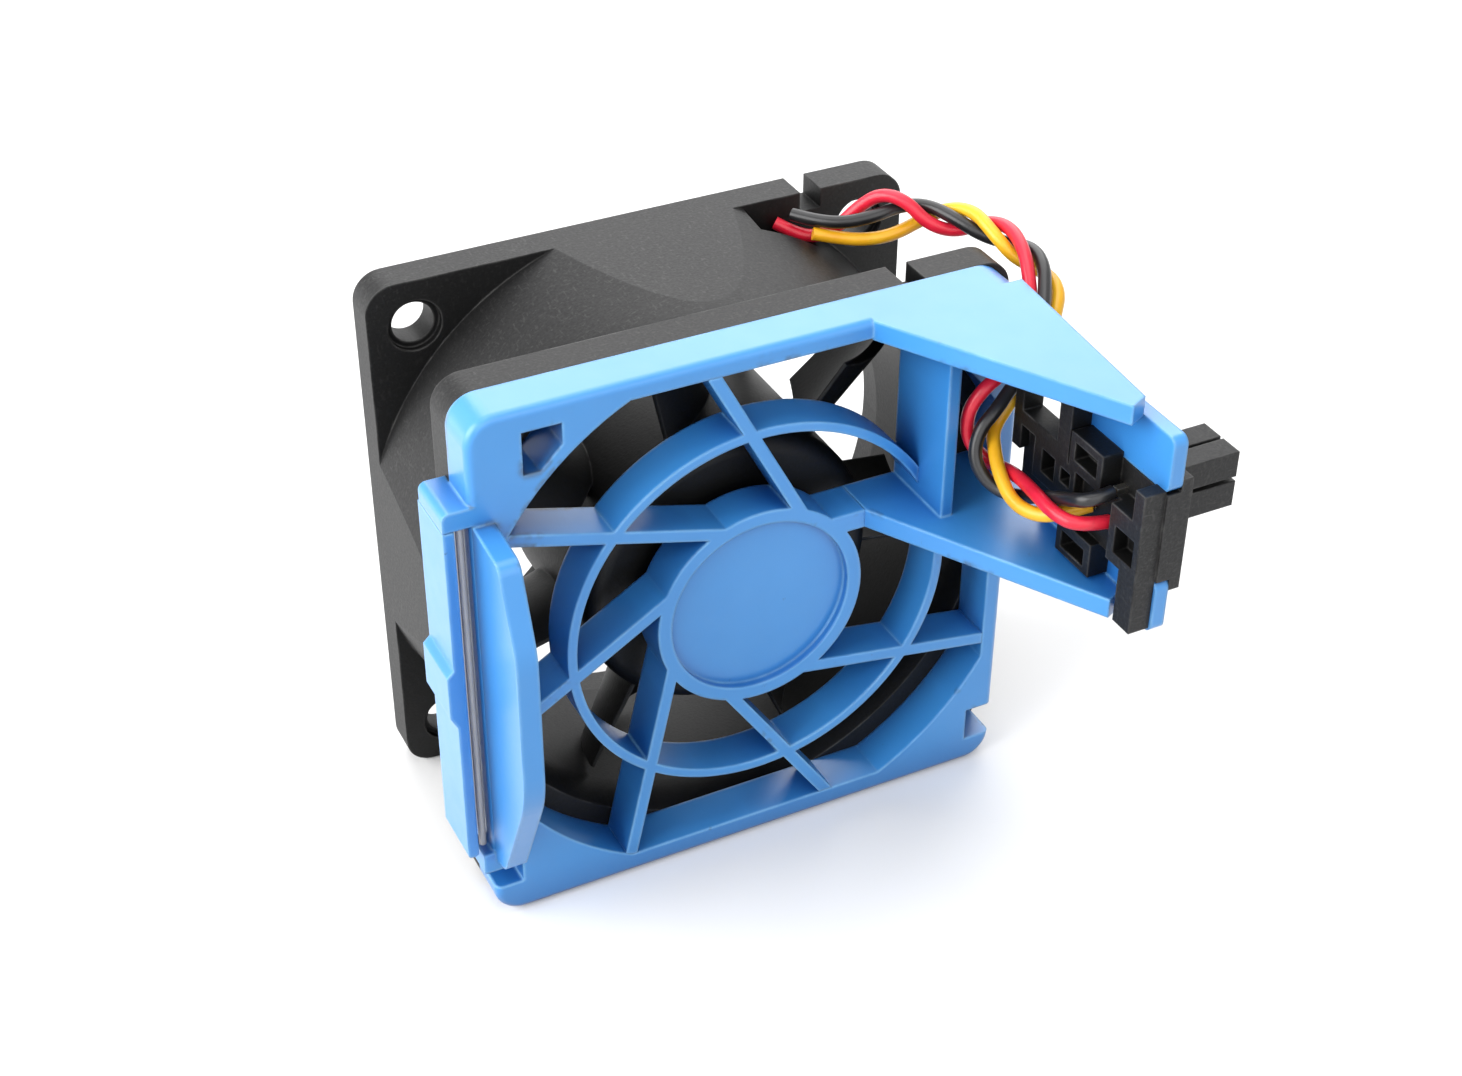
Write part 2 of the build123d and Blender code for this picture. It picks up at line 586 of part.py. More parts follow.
# Carrier: rounded frame with corner webs, latch cap, finger tab, foot, pegs and the connector arm
with BuildPart() as carrier:
    with BuildSketch(at_y(SEAM_Y)):
        with Locations(((BEZEL_RIGHT - BEZEL_LEFT) / 2, 0)):
            RectangleRounded(BEZEL_LEFT + BEZEL_RIGHT, FAN_SIZE, BEZEL_CORNER_R)
    extrude(amount=BEZEL_DEPTH)
    fillet(carrier.faces().sort_by(Axis.Y)[0].edges(), BEZEL_EDGE_R)
    extrude(opening.sketch, amount=BEZEL_DEPTH, mode=Mode.SUBTRACT)
    with BuildSketch(at_y(SEAM_Y)):
        with BuildLine():
            Polyline(
                (WINDOW_X - WINDOW_W / 2, WINDOW_HIGH), (WINDOW_X + WINDOW_W / 2, WINDOW_HIGH),
                (WINDOW_X + WINDOW_W / 2, WINDOW_HIGH - WINDOW_H + WINDOW_CUT),
                (WINDOW_X + WINDOW_W / 2 - WINDOW_CUT, WINDOW_HIGH - WINDOW_H),
                (WINDOW_X - WINDOW_W / 2, WINDOW_HIGH - WINDOW_H), close=True,
            )
        make_face()
        with Locations((BEZEL_RIGHT, -HALF + NOTCH_BOTTOM + NOTCH_H / 2)):
            Rectangle(2 * NOTCH_DEPTH, NOTCH_H)
        with Locations((-BEZEL_LEFT, (POCKET_TOP + POCKET_BOTTOM) / 2)):
            Rectangle(2 * POCKET_W, POCKET_TOP - POCKET_BOTTOM)
    extrude(amount=BEZEL_DEPTH, mode=Mode.SUBTRACT)
    # Cap that carries the latch arm
    with BuildSketch(at_y(FRONT_Y + LATCH_DEPTH)):
        with Locations((LATCH_OUTER_X, LATCH_ROOT_Z)):
            Rectangle(-BEZEL_LEFT - LATCH_OUTER_X, LATCH_CAP_T, align=(Align.MIN, Align.MIN))
    extrude(amount=LATCH_DEPTH)
    with BuildSketch(at_y(FRONT_Y + BEZEL_DEPTH)):
        with Locations((LATCH_INNER_X, LATCH_ROOT_Z)):
            Rectangle(LATCH_GAP + LEFT_WALL, LATCH_CAP_T, align=(Align.MIN, Align.MIN))
    extrude(amount=BEZEL_DEPTH)
    cap_left = carrier.faces().sort_by(Axis.X)[0]
    fillet(cap_left.edges().filter_by(Axis.Y).sort_by(Axis.Z)[-1], LATCH_CAP_R)
    # Finger tab, a half-moon plate that stands forward of the left wall
    with BuildSketch(Plane.YZ.offset(TAB_X)):
        with BuildLine():
            FilletPolyline(
                (FRONT_Y, TAB_TOP), *((FRONT_Y - reach, height) for reach, height in TAB_EDGE),
                (FRONT_Y, TAB_BOTTOM), radius=TAB_EDGE_RADII,
            )
            Polyline(
                (FRONT_Y, TAB_BOTTOM), (FRONT_Y + BEZEL_EDGE_R, TAB_BOTTOM),
                (FRONT_Y + BEZEL_EDGE_R, TAB_TOP), (FRONT_Y, TAB_TOP),
            )
        make_face()
    extrude(amount=TAB_T)
    # Foot under the spring wire
    with BuildSketch(at_y(FRONT_Y)):
        with Locations((-BEZEL_LEFT - FOOT_W, POCKET_TOP)):
            Rectangle(FOOT_W + LEFT_WALL, FOOT_H, align=(Align.MIN, Align.MIN))
    extrude(amount=-FOOT_DEPTH)
    # Pegs in the recesses round two of the fan's screw holes
    with BuildSketch(at_y(SEAM_Y)):
        with Locations((-HOLE_PITCH / 2, -HOLE_PITCH / 2), (HOLE_PITCH / 2, HOLE_PITCH / 2)):
            Circle(PEG_R)
    extrude(amount=-PEG_LENGTH)
    chamfer(carrier.faces().sort_by(Axis.Y)[-2:].edges(), PEG_CHAMFER)
    # Arm: root ribs across the opening, two tapering plates, the wall between them and two strips
    with BuildSketch(at_y(SEAM_Y - GUARD_INSET)):
        with Locations((ARM_ROOT_X, LOWER_PLATE_BOTTOM)):
            Rectangle(BEZEL_RIGHT - RIGHT_WALL / 2 - ARM_ROOT_X, PLATE_T, align=(Align.MIN, Align.MIN))
        with Locations((ARM_WALL_X, LOWER_PLATE_BOTTOM)):
            Rectangle(ARM_WALL_T, HALF - TOP_WALL / 2 - LOWER_PLATE_BOTTOM, align=(Align.MIN, Align.MIN))
    extrude(amount=BEZEL_DEPTH - GUARD_INSET)
    plate_root_y = FRONT_Y + BEZEL_EDGE_R
    for plate_bottom in (UPPER_PLATE_BOTTOM, LOWER_PLATE_BOTTOM):
        with BuildSketch(Plane.XY.offset(plate_bottom)):
            with BuildLine():
                Polyline(
                    (ARM_ROOT_X, plate_root_y), (ARM_OUTER_X, plate_root_y),
                    (ARM_TIP_X, FRONT_Y - ARM_REACH + ARM_TIP_W / 2),
                    (ARM_TIP_X - ARM_TIP_W, FRONT_Y - ARM_REACH), (ARM_ROOT_X, FRONT_Y), close=True,
                )
            make_face()
        extrude(amount=PLATE_T)
    with BuildSketch(Plane.YZ.offset(ARM_WALL_X)):
        with Locations((FRONT_Y, LOWER_PLATE_TOP)):
            Rectangle(ARM_WALL_REACH, UPPER_PLATE_BOTTOM - LOWER_PLATE_TOP, align=(Align.MAX, Align.MIN))
    extrude(amount=ARM_WALL_T)
    for strip_bottom, strip_top in (
        (UPPER_STRIP_BOTTOM, UPPER_PLATE_BOTTOM), (LOWER_PLATE_BOTTOM, LOWER_STRIP_TOP)
    ):
        with BuildSketch(Plane.YZ.offset(STRIP_X)):
            with Locations((STRIP_FRONT_Y, strip_bottom)):
                Rectangle(STRIP_END - STRIP_START, strip_top - strip_bottom, align=(Align.MIN, Align.MIN))
        extrude(amount=STRIP_T)
    strip_ends = carrier.faces().filter_by(Axis.Y).group_by(Axis.Y)[0].edges().filter_by(Axis.X)
    fillet(strip_ends, STRIP_END_R)
    # Seat for the upper end of the spring wire
    with BuildSketch(Plane.XY.offset(LATCH_ROOT_Z)):
        with Locations((SPRING_X, FRONT_Y + SPRING_SETBACK)):
            Circle(SPRING_WIRE_D / 2)
    extrude(amount=SPRING_SEAT, mode=Mode.SUBTRACT)
save(carrier.part, "carrier")

# Finger guard: hub with a raised rim, one ring cut at the arm, slanting spokes and a rib to the arm
with BuildPart() as finger_guard:
    with BuildSketch(at_y(SEAM_Y - GUARD_INSET)):
        Circle(RING_R + RING_W / 2)
        Circle(RING_R - RING_W / 2, mode=Mode.SUBTRACT)
        for spoke in range(SPOKE_COUNT):
            spoke_angle = SPOKE_FIRST_ANGLE - 90 + spoke * SPOKE_PITCH
            with PolarLocations(SPOKE_OFFSET, 1, start_angle=spoke_angle):
                Rectangle(SPOKE_W, FAN_SIZE, align=(Align.CENTER, Align.MIN))
        with Locations((0, LOWER_PLATE_BOTTOM)):
            Rectangle(ARM_ROOT_X, PLATE_T, align=(Align.MIN, Align.MIN))
        with Locations((ARM_WALL_X, LOWER_PLATE_BOTTOM)):
            Rectangle(FAN_SIZE, FAN_SIZE, align=(Align.MIN, Align.MIN), mode=Mode.SUBTRACT)
        Circle(GUARD_HUB_R)
    extrude(amount=BEZEL_DEPTH - GUARD_INSET)
    extrude(opening.sketch, amount=BEZEL_DEPTH, mode=Mode.INTERSECT)
    with BuildSketch(at_y(FRONT_Y + GUARD_HUB_RECESS)):
        Circle(GUARD_HUB_R - GUARD_HUB_RIM)
    extrude(amount=GUARD_HUB_RECESS, mode=Mode.SUBTRACT)
    with BuildSketch(at_y(SEAM_Y)):
        Circle(GUARD_HUB_R - GUARD_HUB_RIM)
    extrude(amount=BEZEL_DEPTH - GUARD_HUB_RECESS - GUARD_HUB_FLOOR, mode=Mode.SUBTRACT)
save(finger_guard.part, "finger_guard")

# Latch arm: a sprung strip with a tooth, hanging below the cap
with BuildPart() as latch_arm:
    with BuildSketch(at_y(FRONT_Y + LATCH_DEPTH)):
        with BuildLine():
            Polyline(
                (LATCH_INNER_X, LATCH_BOTTOM), (LATCH_OUTER_X, LATCH_BOTTOM),
                (LATCH_OUTER_X, TOOTH_BOTTOM - TOOTH_RAMP), (LATCH_OUTER_X - TOOTH_HEIGHT, TOOTH_BOTTOM),
                (LATCH_OUTER_X - TOOTH_HEIGHT, TOOTH_TOP), (LATCH_OUTER_X, TOOTH_TOP + TOOTH_HEIGHT),
                (LATCH_OUTER_X, LATCH_ROOT_Z - LATCH_SEAM), (LATCH_INNER_X, LATCH_ROOT_Z - LATCH_SEAM),
                close=True,
            )
        make_face()
    extrude(amount=LATCH_DEPTH)
    fillet(latch_arm.faces().sort_by(Axis.Z)[0].edges().filter_by(Axis.Y), LATCH_EDGE_R)
save(latch_arm.part, "latch_arm")

with BuildPart() as latch_spring:
    with BuildSketch(Plane.XY.offset(FOOT_TOP)):
        with Locations((SPRING_X, FRONT_Y + SPRING_SETBACK)):
            Circle(SPRING_WIRE_D / 2)
    extrude(amount=LATCH_ROOT_Z + SPRING_SEAT - FOOT_TOP)
save(latch_spring.part, "latch_spring")


def arm_rectangle(rear, front, top, bottom):
    """Rectangle in a YZ sketch, from distances ahead of the bezel and below its top."""
    with Locations((FRONT_Y - front, HALF - bottom)):
        return Rectangle(front - rear, bottom - top, align=(Align.MIN, Align.MIN))


# Connector holder: a thin sheet with boxes, bars and a post, a neck between the strips and a flange
with BuildPart() as connector_holder:
    with BuildSketch(Plane.YZ.offset(SHEET_X)):
        arm_rectangle(*SHEET)
    extrude(amount=SHEET_T)
    with BuildSketch(Plane.YZ.offset(HOLDER_X)):
        for block in HOLDER_BLOCKS.values():
            arm_rectangle(*block)
    extrude(amount=HOLDER_T)
    with BuildSketch(Plane.YZ.offset(STRIP_X)):
        arm_rectangle(NECK_START, NECK_END, UPPER_STRIP_DROP + PLUG_FIT, LOWER_STRIP_DROP - PLUG_FIT)
    extrude(amount=STRIP_T)
    with BuildSketch(Plane.YZ.offset(ARM_OUTER_X)):
        arm_rectangle(
            NECK_START - FLANGE_PLATE_BORDER, NECK_END,
            UPPER_STRIP_DROP - FLANGE_PLATE_BORDER, LOWER_STRIP_DROP + FLANGE_PLATE_BORDER,
        )
    extrude(amount=FLANGE_PLATE_T)
    with BuildSketch(Plane.YZ.offset(HOLDER_X)):
        for cell in HOLDER_CELLS.values():
            arm_rectangle(*cell)
    extrude(amount=HOLDER_T - CELL_FLOOR, mode=Mode.SUBTRACT)
    with BuildSketch(Plane.YZ.offset(HOLDER_X)):
        with Locations(*CONTACT_PLACES):
            Rectangle(CONTACT_W, CONTACT_W)
    extrude(amount=NOSE_TIP_X - HOLDER_X, mode=Mode.SUBTRACT)
save(connector_holder.part, "connector_holder")

# Plug: four hollow silos on a common root
with BuildPart() as connector_plug:
    with BuildSketch(Plane.YZ.offset(NOSE_X)):
        with Locations(NOSE_CENTRE):
            Rectangle(SILO_PITCH_Y + SILO_W, SILO_PITCH_Z + SILO_H)
    extrude(amount=NOSE_LENGTH - SILO_LENGTH)
    with BuildSketch(Plane.YZ.offset(NOSE_TIP_X - SILO_LENGTH)):
        with Locations(NOSE_CENTRE):
            with GridLocations(SILO_PITCH_Y, SILO_PITCH_Z, 2, 2):
                Rectangle(SILO_W, SILO_H)
    extrude(amount=SILO_LENGTH)
    with BuildSketch(Plane.YZ.offset(NOSE_TIP_X)):
        with Locations(NOSE_CENTRE):
            with GridLocations(SILO_PITCH_Y, SILO_PITCH_Z, 2, 2):
                Rectangle(SILO_BORE, SILO_BORE)
    extrude(amount=-SILO_BORE_DEPTH, mode=Mode.SUBTRACT)
    with BuildSketch(Plane.YZ.offset(NOSE_X)):
        with Locations(*CONTACT_PLACES):
            Rectangle(CONTACT_W, CONTACT_W)
    extrude(amount=NOSE_LENGTH, mode=Mode.SUBTRACT)
save(connector_plug.part, "connector_plug")

with BuildPart() as contacts:
    with BuildSketch(Plane.YZ.offset(SHEET_X)):
        with Locations(*CONTACT_PLACES):
            Rectangle(CONTACT_W, CONTACT_W)
    extrude(amount=NOSE_TIP_X - CONTACT_INSET - SHEET_X)
save(contacts.part, "contacts")


def corner_radii(points):
    """Largest even bend at each inner point, from the shorter run beside it."""
    radii = []
    for before, corner, after in zip(points, points[1:], points[2:]):
        run_in = Vector(*corner) - Vector(*before)
        run_out = Vector(*after) - Vector(*corner)
        half_turn = radians(run_in.get_angle(run_out)) / 2
        radii.append(CORNER_SHARE * min(run_in.length, run_out.length) / tan(half_turn))
    return radii


# Leads from the fan to the plug
for label, (rear_points, front_points) in LEAD_ROUTES.items():
    route = [(HALF + x, y, HALF + z) for x, y, z in rear_points]
    route += [(HALF + x, FRONT_Y + y, HALF + z) for x, y, z in front_points]
    radii = corner_radii(route)
    with BuildPart() as lead:
        with BuildLine():
            run = FilletPolyline(*route, radius=radii)
        with BuildSketch(Plane(origin=run @ 0, z_dir=run % 0)):
            Circle(LEAD_D / 2)
        sweep()
    save(lead.part, label)
    true_volume = pi * LEAD_D**2 / 4 * run.length
    print(label, f"length {run.length:.1f}", f"volume ratio {lead.part.volume / true_volume:.3f}")
    print("  radii", [round(radius, 1) for radius in radii])
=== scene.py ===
import math

import bpy
from mathutils import Matrix, Vector


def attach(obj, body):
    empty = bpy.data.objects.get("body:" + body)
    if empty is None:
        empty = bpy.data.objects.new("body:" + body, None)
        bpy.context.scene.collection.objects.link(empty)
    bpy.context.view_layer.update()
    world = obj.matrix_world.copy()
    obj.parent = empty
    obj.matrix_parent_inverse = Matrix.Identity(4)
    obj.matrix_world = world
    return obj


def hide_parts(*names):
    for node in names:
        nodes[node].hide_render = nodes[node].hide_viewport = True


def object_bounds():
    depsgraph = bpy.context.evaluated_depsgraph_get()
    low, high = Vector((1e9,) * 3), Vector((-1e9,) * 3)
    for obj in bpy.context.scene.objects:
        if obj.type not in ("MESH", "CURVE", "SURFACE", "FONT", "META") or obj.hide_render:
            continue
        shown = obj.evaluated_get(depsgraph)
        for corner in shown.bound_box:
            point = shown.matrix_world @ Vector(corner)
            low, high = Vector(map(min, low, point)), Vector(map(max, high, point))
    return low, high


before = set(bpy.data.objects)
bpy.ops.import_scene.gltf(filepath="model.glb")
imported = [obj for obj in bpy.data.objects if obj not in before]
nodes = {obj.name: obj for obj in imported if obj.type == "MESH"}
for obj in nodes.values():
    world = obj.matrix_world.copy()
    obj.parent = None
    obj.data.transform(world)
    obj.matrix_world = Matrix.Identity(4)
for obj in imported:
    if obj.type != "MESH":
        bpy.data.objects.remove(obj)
cad_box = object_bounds()
scene = bpy.context.scene
MM = 0.001

BEVEL_SAMPLES = 6
RECESS_SAMPLES = 8
# The Mix node has a set of sockets for each data type, so its colour sockets are picked by number.
MIX_SHARE = 0
MIX_FIRST = 6
MIX_SECOND = 7
MIX_RESULT = 2


# Node helpers, used by the finishes, the floor and the world.

def connect(tree, value, socket):
    """Link an output to the socket, or write a plain value into it."""
    if isinstance(value, bpy.types.NodeSocket):
        tree.links.new(value, socket)
    else:
        socket.default_value = value


def combine(tree, operation, first, second):
    """The result of a Math node on two outputs or values."""
    node = tree.nodes.new("ShaderNodeMath")
    node.operation = operation
    connect(tree, first, node.inputs[0])
    connect(tree, second, node.inputs[1])
    return node.outputs["Value"]


def blend(tree, share, first, second):
    """A colour that goes from the first to the second as the share goes from 0 to 1."""
    node = tree.nodes.new("ShaderNodeMix")
    node.data_type = "RGBA"
    connect(tree, share, node.inputs[MIX_SHARE])
    connect(tree, first, node.inputs[MIX_FIRST])
    connect(tree, second, node.inputs[MIX_SECOND])
    return node.outputs[MIX_RESULT]


def opaque(colour):
    return (*colour, 1.0)


class Tree:
    """A new material with a Principled shader, and short calls to add nodes to it."""

    def __init__(self, name, rough, metallic=0.0, specular=0.5, coat=0.0):
        self.material = bpy.data.materials.new(name)
        self.material.use_nodes = True
        self.nodes = self.material.node_tree.nodes
        self.links = self.material.node_tree.links
        self.shader = self.nodes["Principled BSDF"]
        self.shader.inputs["Roughness"].default_value = rough
        self.shader.inputs["Metallic"].default_value = metallic
        self.shader.inputs["Specular IOR Level"].default_value = specular
        self.shader.inputs["Coat Weight"].default_value = coat
        self.place = self.nodes.new("ShaderNodeTexCoord").outputs["Object"]

    def put(self, kind, **inputs):
        """Add a node and fill its inputs, with an underscore for each space in an input's name."""
        node = self.nodes.new(kind)
        for key, value in inputs.items():
            connect(self, value, node.inputs[key.replace("_", " ")])
        return node

    def stretched(self, scale):
        return self.put("ShaderNodeMapping", Vector=self.place, Scale=scale).outputs["Vector"]

    def noise(self, scale, detail, rough=0.55, where=None):
        node = self.put("ShaderNodeTexNoise", Vector=where or self.place, Scale=scale, Detail=detail,
                        Roughness=rough)
        return node.outputs["Fac"]

    def ramp(self, share, *stops):
        node = self.put("ShaderNodeValToRGB", Fac=share)
        marks = node.color_ramp.elements
        while len(marks) < len(stops):
            # Any place will do here, because each mark is moved below.
            marks.new(0.5)
        for mark, (position, colour) in zip(marks, stops):
            mark.position = position
            mark.color = opaque(colour)
        return node.outputs["Color"]

    def grey(self, value, low, high, start=0.0, end=1.0):
        """A number that goes from low to high as the value goes from start to end."""
        node = self.put("ShaderNodeMapRange", Value=value, From_Min=start, From_Max=end, To_Min=low,
                        To_Max=high)
        return node.outputs["Result"]

    def cover(self, share, under, over):
        """The colour of a plain layer over what is there already."""
        return blend(self, share, under, opaque(over))

    def product(self, first, second):
        return combine(self, "MULTIPLY", first, second)

    def rounded(self, radius):
        """The normal as if edges were rounded to the radius."""
        node = self.put("ShaderNodeBevel", Radius=radius)
        node.samples = BEVEL_SAMPLES
        return node.outputs["Normal"]

    def edge(self, radius, start, end):
        """0 on flat faces and 1 on sharp edges within the radius, from the rounded normal."""
        dot = self.nodes.new("ShaderNodeVectorMath")
        dot.operation = "DOT_PRODUCT"
        self.links.new(self.rounded(radius), dot.inputs[0])
        self.links.new(self.nodes.new("ShaderNodeNewGeometry").outputs["Normal"], dot.inputs[1])
        return self.grey(dot.outputs["Value"], 1.0, 0.0, start, end)

    def recess(self, reach, start, end):
        """0 on open faces, rising to 1 deep in corners and narrow gaps."""
        node = self.put("ShaderNodeAmbientOcclusion", Distance=reach)
        node.samples = RECESS_SAMPLES
        return self.grey(node.outputs["AO"], 1.0, 0.0, start, end)

    def finish(self, colour, height, depth, distance, rough=None, rounding=None):
        """Wire the colour and the bump into the shader, and the roughness and rounded edges where given."""
        bump = self.put("ShaderNodeBump", Height=height, Strength=depth, Distance=distance)
        if rounding is not None:
            self.links.new(self.rounded(rounding), bump.inputs["Normal"])
        if rough is not None:
            self.links.new(rough, self.shader.inputs["Roughness"])
        self.links.new(colour, self.shader.inputs["Base Color"])
        self.links.new(bump.outputs["Normal"], self.shader.inputs["Normal"])
        return self.material


# Finishes. Noise scales are in waves per metre, and colours are linear.

def blue_plastic():
    """Satin moulded blue: faint clouds, painted shade in corners and recesses, paler edges as painted
    highlight with some edge wear, smudges on some ribs, specks.
    """
    deep = (0.048, 0.295, 0.735)
    bright = (0.062, 0.330, 0.790)
    painted_shade_blue = (0.012, 0.110, 0.370)
    rubbed_edge_highlight_blue = (0.24, 0.57, 0.94)
    grime = (0.050, 0.058, 0.070)
    speck_blue = (0.03, 0.10, 0.26)
    t = Tree("carrier_blue", rough=0.32, coat=0.5)
    t.shader.inputs["Coat Roughness"].default_value = 0.30
    clouds = t.noise(scale=60, detail=4)
    colour = t.ramp(clouds, (0.30, deep), (0.70, bright))
    # Painted shade: the colour goes to a dark navy in corners, recesses and narrow gaps, where shade falls.
    colour = t.cover(t.recess(reach=7 * MM, start=0.30, end=0.95), colour, painted_shade_blue)
    patches = t.grey(t.noise(scale=150, detail=3), low=0.35, high=0.90, start=0.38, end=0.60)
    # Painted highlight: paler blue along sharp edges, in patches, with some edge wear in it too.
    pale_edge_patches = t.product(t.edge(radius=0.6 * MM, start=0.80, end=0.995), patches)
    colour = t.cover(pale_edge_patches, colour, rubbed_edge_highlight_blue)
    blots = t.grey(t.noise(scale=62, detail=5, rough=0.72), low=0.0, high=0.80, start=0.60, end=0.66)
    smudged = t.product(t.edge(radius=1.4 * MM, start=0.86, end=0.99), blots)
    colour = t.cover(smudged, colour, grime)
    specks = t.grey(t.noise(scale=620, detail=4, rough=0.7), low=0.0, high=0.50, start=0.70, end=0.76)
    colour = t.cover(specks, colour, speck_blue)
    rough = t.grey(t.noise(scale=420, detail=2), low=0.26, high=0.40)
    grain = t.noise(scale=2600, detail=2)
    return t.finish(colour, grain, depth=0.07, distance=0.05 * MM, rough=rough, rounding=0.45 * MM)


def black_plastic(name, base, fleck, grain):
    """Glass-filled black: a fine sandy grain, short pale fibres lying every way, dust, painted shade in
    recesses and worn edges.
    """
    fibre_grey = (0.055, 0.054, 0.053)
    dust_grey = (0.024, 0.0237, 0.0234)
    painted_shade_black = (0.001, 0.001, 0.001)
    rubbed_grey = (0.14, 0.138, 0.135)
    fibre_lies = ((1.0, 0.28, 0.60), (0.30, 1.0, 1.0), (0.62, 0.95, 0.26))
    t = Tree(name, rough=0.50, specular=0.32)
    sand = t.noise(scale=grain, detail=2, rough=0.6)
    colour = t.ramp(sand, (0.34, base), (0.72, fleck))
    for lie in fibre_lies:
        strands = t.noise(scale=3400, detail=1, rough=0.5, where=t.stretched(lie))
        fibres = t.grey(strands, low=0.0, high=0.40, start=0.63, end=0.76)
        colour = t.cover(fibres, colour, fibre_grey)
    dust = t.grey(t.noise(scale=75, detail=4), low=0.0, high=0.25, start=0.48, end=0.75)
    colour = t.cover(dust, colour, dust_grey)
    # Painted shade: near black in corners and recesses, where shade falls.
    colour = t.cover(t.recess(reach=20 * MM, start=0.40, end=0.95), colour, painted_shade_black)
    patches = t.grey(t.noise(scale=240, detail=3), low=0.0, high=0.60, start=0.42, end=0.70)
    pale_edge_patches = t.product(t.edge(radius=0.4 * MM, start=0.85, end=0.995), patches)
    colour = t.cover(pale_edge_patches, colour, rubbed_grey)
    rough = t.grey(sand, low=0.60, high=0.46)
    return t.finish(colour, sand, depth=0.22, distance=0.1 * MM, rough=rough, rounding=0.22 * MM)


def metal(name, dark, light, rough, scale, metallic=1.0):
    """Drawn or turned metal, with fine lines along the direction where the scale is small."""
    t = Tree(name, rough, metallic)
    lines = t.noise(scale=300, detail=3, rough=0.6, where=t.stretched(scale))
    colour = t.ramp(lines, (0.3, dark), (0.7, light))
    sheen = t.grey(lines, low=rough - 0.08, high=rough + 0.10)
    return t.finish(colour, lines, depth=0.08, distance=0.05 * MM, rough=sheen, rounding=0.12 * MM)


def insulation(name, deep, bright):
    """Soft wire insulation: a slight bloom, a fine grain and handling marks."""
    mark_share = 0.45
    t = Tree(name, rough=0.30)
    bloom = t.noise(scale=240, detail=3)
    colour = t.ramp(bloom, (0.30, deep), (0.72, bright))
    marks = t.grey(t.noise(scale=520, detail=4, rough=0.7), low=0.0, high=0.30, start=0.62, end=0.80)
    colour = t.cover(marks, colour, tuple(c * mark_share for c in deep))
    rough = t.grey(t.noise(scale=700, detail=2), low=0.24, high=0.40)
    return t.finish(colour, t.noise(scale=1800, detail=2), depth=0.05, distance=0.05 * MM, rough=rough)


def moulded(name, deep, bright, rough, scale=500):
    """Plain moulded or pressed stuff with a mottled grain."""
    t = Tree(name, rough)
    grain = t.noise(scale=scale, detail=4, rough=0.65)
    colour = t.ramp(grain, (0.35, deep), (0.68, bright))
    sheen = t.grey(grain, low=rough - 0.08, high=rough + 0.08)
    return t.finish(colour, grain, depth=0.10, distance=0.06 * MM, rough=sheen, rounding=0.12 * MM)


def enamelled_copper():
    """Windings: rounded wire turns side by side, with small gaps and a varnish gloss; the colour is painted
    lighter on the crests and darker on the flanks and in the gaps, as painted highlight and shade.
    """
    gap_shade = (0.10, 0.03, 0.012)
    flank_shade = (0.42, 0.15, 0.05)
    crest_highlight = (0.66, 0.28, 0.10)
    t = Tree("enamelled_copper", rough=0.28, metallic=0.75, coat=0.4)
    waves = t.put("ShaderNodeTexWave", Vector=t.place, Scale=620.0, Distortion=0.6, Detail=1.0)
    waves.bands_direction = "Y"
    turns = waves.outputs["Fac"]
    # Painted highlight on the crest of each turn, and painted shade on its flanks and in the gaps between
    # turns.
    colour = t.ramp(turns, (0.05, gap_shade), (0.45, flank_shade), (0.9, crest_highlight))
    return t.finish(colour, turns, depth=0.5, distance=0.2 * MM)


def laminations():
    """Stamped stator sheets: dark seams between the thin bright layers."""
    seam = (0.10, 0.10, 0.11)
    sheet = (0.42, 0.42, 0.44)
    t = Tree("laminated_steel", rough=0.42, metallic=0.9)
    waves = t.put("ShaderNodeTexWave", Vector=t.place, Scale=340.0, Distortion=0.1)
    waves.bands_direction = "Y"
    layers = waves.outputs["Fac"]
    colour = t.ramp(layers, (0.08, seam), (0.4, sheet))
    return t.finish(colour, layers, depth=0.3, distance=0.1 * MM)


def board():
    """Solder mask over faint copper runs."""
    mask = (0.015, 0.10, 0.035)
    raised = (0.03, 0.19, 0.06)
    t = Tree("board", rough=0.35, coat=0.3)
    cells = t.put("ShaderNodeTexVoronoi", Vector=t.place, Scale=380.0)
    cells.distance = "MANHATTAN"
    runs = t.grey(cells.outputs["Distance"], low=0.0, high=1.0, start=0.42, end=0.5)
    colour = t.ramp(runs, (0.2, mask), (0.8, raised))
    return t.finish(colour, runs, depth=0.15, distance=0.05 * MM)


BLUE = blue_plastic()
FAN_BLACK = black_plastic("black_plastic", (0.005, 0.005, 0.0055), (0.014, 0.014, 0.0145), 3200)
PLUG_BLACK = black_plastic("connector_black", (0.007, 0.007, 0.0075), (0.017, 0.017, 0.018), 3600)
STEEL = metal("steel", (0.42, 0.42, 0.43), (0.66, 0.66, 0.67), 0.30, (1.0, 0.1, 1.0))
WIRE = metal("spring_steel", (0.66, 0.62, 0.56), (0.95, 0.92, 0.87), 0.50, (1.0, 1.0, 0.06), 0.10)
LAMINATED = laminations()
MAGNET = moulded("magnet", (0.05, 0.045, 0.04), (0.12, 0.11, 0.10), 0.6)
NATURAL = moulded("insulator", (0.62, 0.60, 0.53), (0.80, 0.78, 0.72), 0.45)
COPPER = enamelled_copper()
BOARD = board()
CHIP = moulded("chip", (0.012, 0.012, 0.012), (0.035, 0.035, 0.036), 0.5, 1500)
TINNED = metal("tinned_contact", (0.55, 0.53, 0.48), (0.78, 0.76, 0.70), 0.28, (0.1, 1.0, 1.0))
RED = insulation("red_insulation", (0.62, 0.008, 0.030), (0.86, 0.025, 0.060))
BLACK = insulation("black_insulation", (0.006, 0.006, 0.007), (0.022, 0.022, 0.024))
YELLOW = insulation("yellow_insulation", (0.86, 0.40, 0.010), (0.98, 0.58, 0.030))

